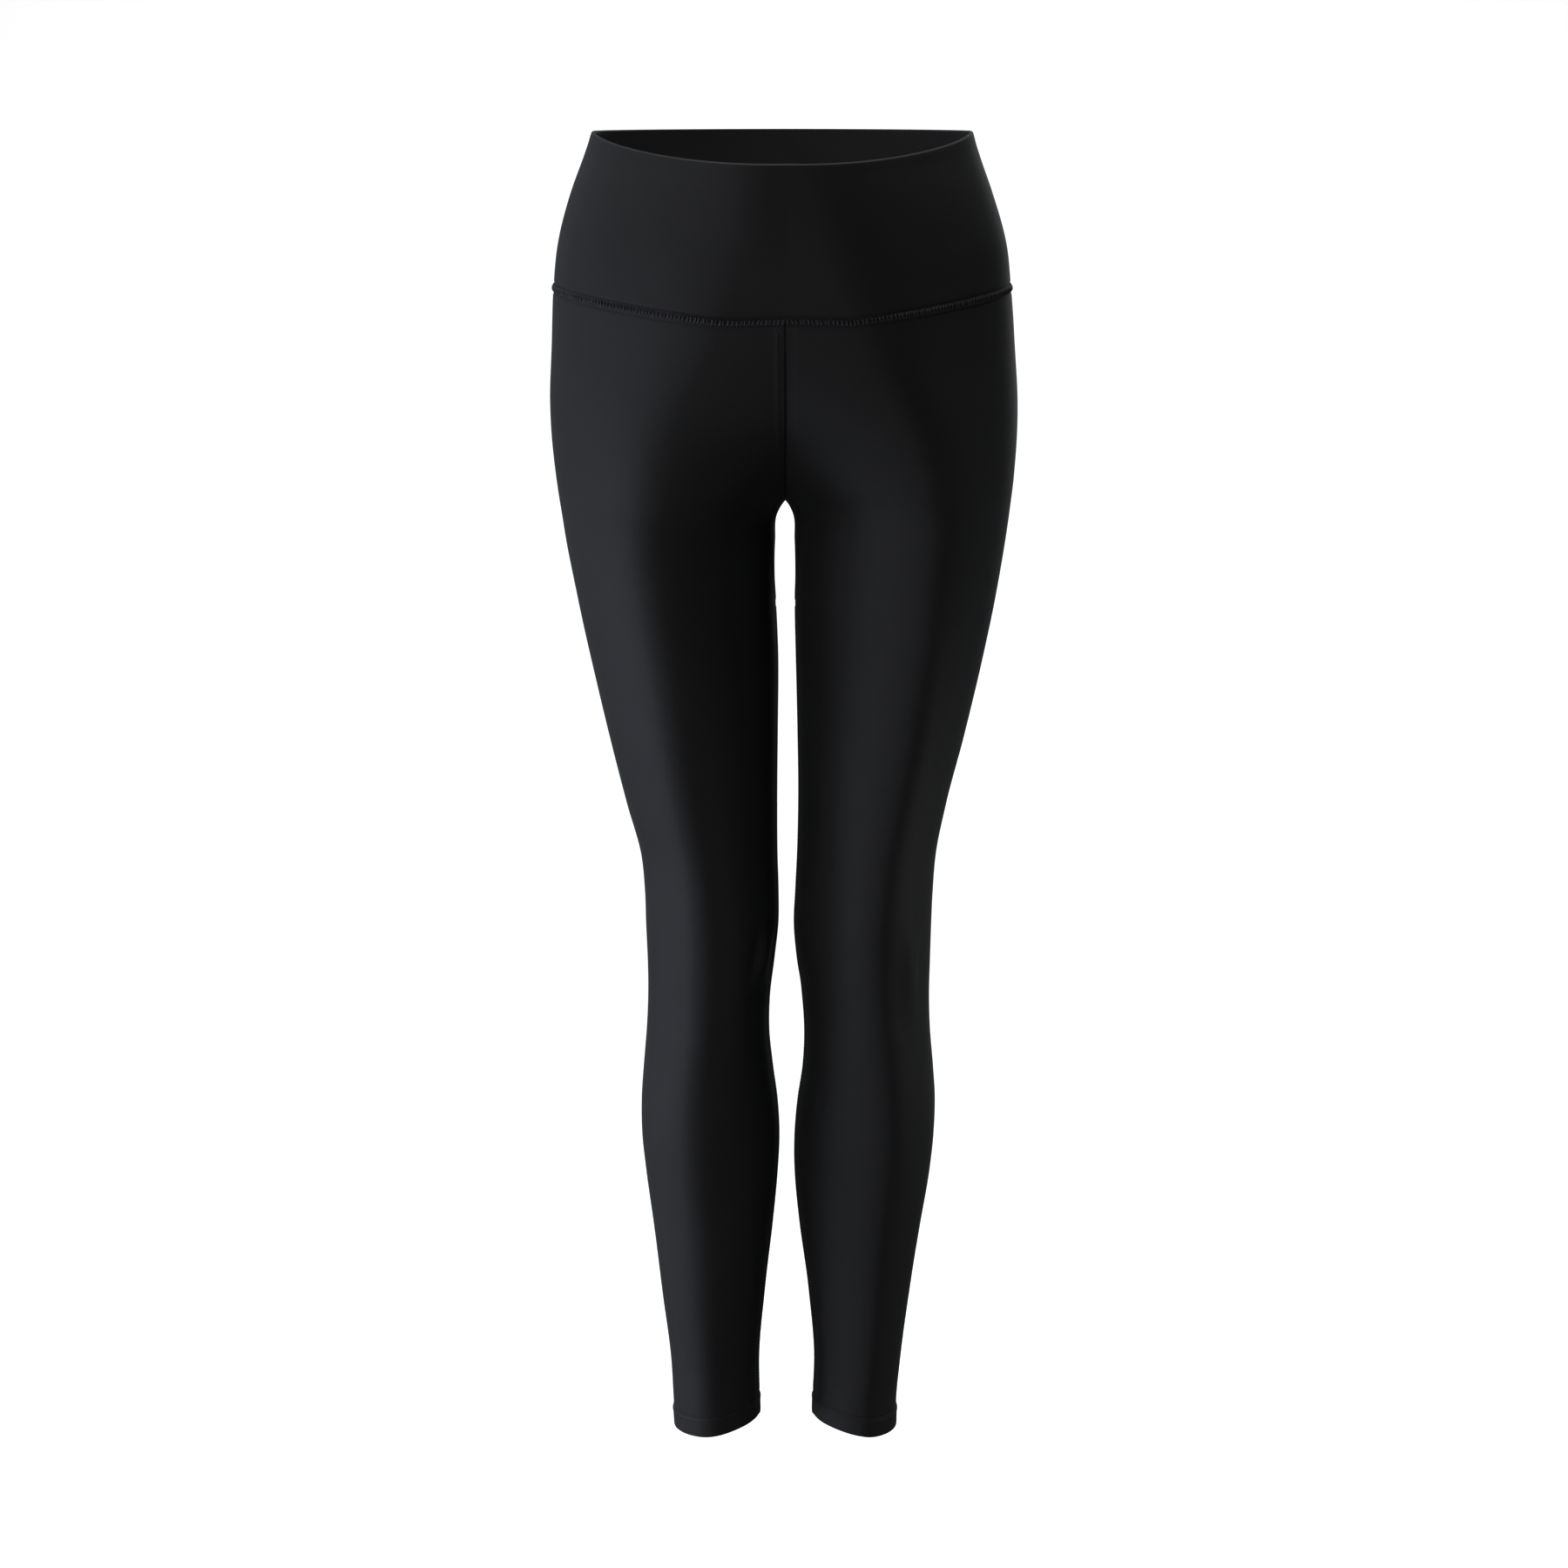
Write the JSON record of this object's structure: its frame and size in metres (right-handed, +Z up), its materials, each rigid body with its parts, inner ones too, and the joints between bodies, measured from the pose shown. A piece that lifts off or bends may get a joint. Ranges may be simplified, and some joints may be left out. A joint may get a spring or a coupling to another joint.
{
  "type": "leggings",
  "caption": "High-waist 7/8-length stretch leggings, filled out as worn, with a wide folded waistband, one-piece legs and a crotch gusset.",
  "frame": {"origin": "middle of the waist opening, level with the waistband's back edge, where the wearer holds the leggings up", "axes": "+Z up, out of the waist opening; the front faces -Y; +X towards the wearer's left leg"},
  "size_m": [0.3167, 0.2283, 0.9082],
  "materials": {
    "band_knit": "smooth matt-sheen stretch knit, folded double",
    "leg_knit": "smooth stretch knit with a soft sheen"
  },
  "bodies": {
    "root": {"waistband_front": "band_knit", "waistband_back": "band_knit", "leg_right": "leg_knit", "leg_left": "leg_knit", "gusset": "leg_knit"}
  },
  "joints": []
}
